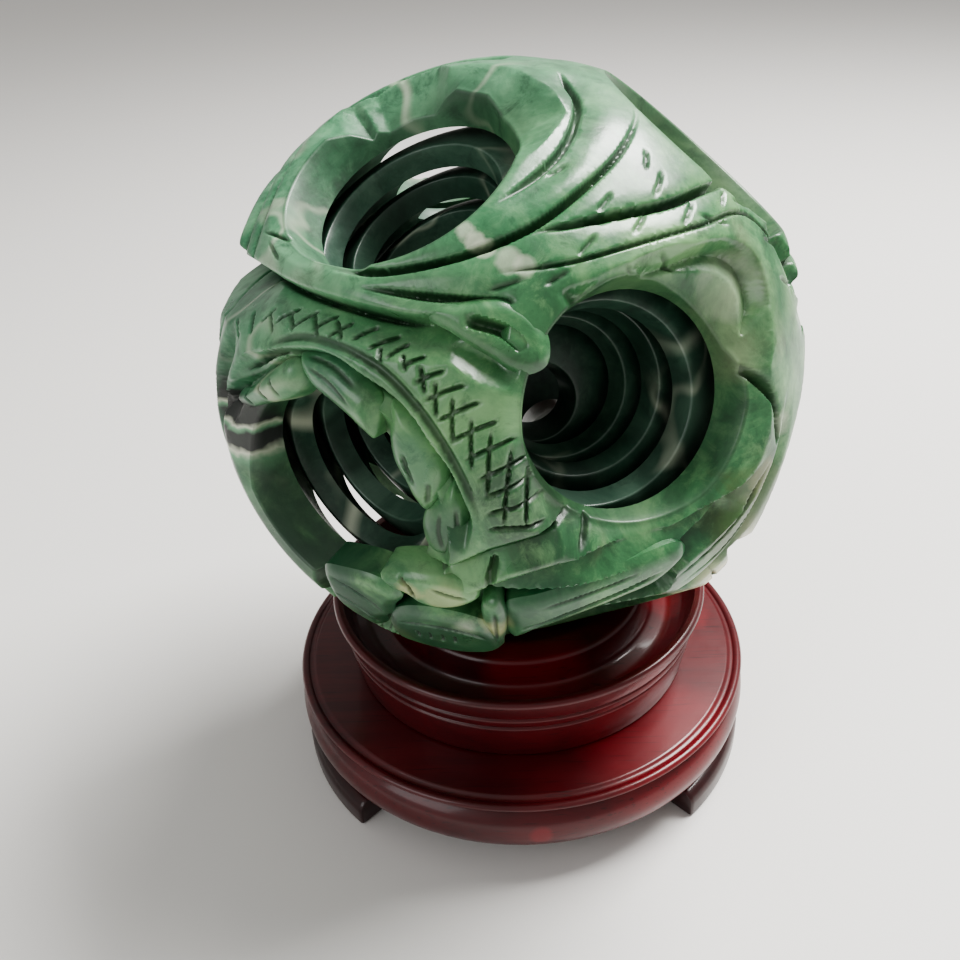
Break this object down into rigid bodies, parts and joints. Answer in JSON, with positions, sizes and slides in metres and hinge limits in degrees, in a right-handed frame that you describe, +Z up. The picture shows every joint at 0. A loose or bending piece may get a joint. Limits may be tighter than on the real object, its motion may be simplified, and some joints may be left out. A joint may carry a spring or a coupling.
{
  "type": "carved puzzle ball",
  "caption": "Carved stone puzzle ball of loose nested shells with round windows that turn inside one another, resting in the cup of a turned wooden stand.",
  "frame": {"origin": "on the table under the centre of the ball, at the bottom of the feet", "axes": "+Z up through the centres of the stand and the ball; -Y towards the side that shows three windows round a broad carved web"},
  "size_m": [0.1494, 0.15, 0.194],
  "materials": {
    "jade": "hand polished mottled green jade with white veins",
    "inner_jade": "satin turned dark green jade with white veins",
    "mahogany": "gloss red-brown varnish",
    "beech": "bare turned dowel",
    "steel": "zinc plated"
  },
  "bodies": {
    "stand": {"base_plate": "mahogany", "cup": "mahogany", "cup_screw": "steel", "foot_1": "mahogany", "foot_2": "mahogany", "foot_3": "mahogany", "foot_1_dowel_left": "beech", "foot_1_dowel_right": "beech", "foot_2_dowel_left": "beech", "foot_2_dowel_right": "beech", "foot_3_dowel_left": "beech", "foot_3_dowel_right": "beech"},
    "core_ball": {"core_ball": "inner_jade"},
    "shell_4": {"shell_4": "inner_jade"},
    "shell_3": {"shell_3": "inner_jade"},
    "shell_2": {"shell_2": "inner_jade"},
    "outer_shell": {"outer_shell": "jade"}
  },
  "joints": [
    {"name": "ball_lift", "type": "slide", "parent": "stand", "child": "core_ball", "axis": [0, 0, 1], "range_m": [0, 0.08]},
    {"name": "shell_4_turn", "type": "hinge", "parent": "core_ball", "child": "shell_4", "pos_m": [0, 0, 0.119], "axis": [0.6, 0, 0.8], "continuous": true},
    {"name": "shell_3_turn", "type": "hinge", "parent": "core_ball", "child": "shell_3", "pos_m": [0, 0, 0.119], "axis": [0, 1, 0], "continuous": true},
    {"name": "shell_2_turn", "type": "hinge", "parent": "core_ball", "child": "shell_2", "pos_m": [0, 0, 0.119], "axis": [1, 0, 0], "continuous": true},
    {"name": "outer_shell_turn", "type": "hinge", "parent": "core_ball", "child": "outer_shell", "pos_m": [0, 0, 0.119], "axis": [0, 0, 1], "continuous": true}
  ]
}
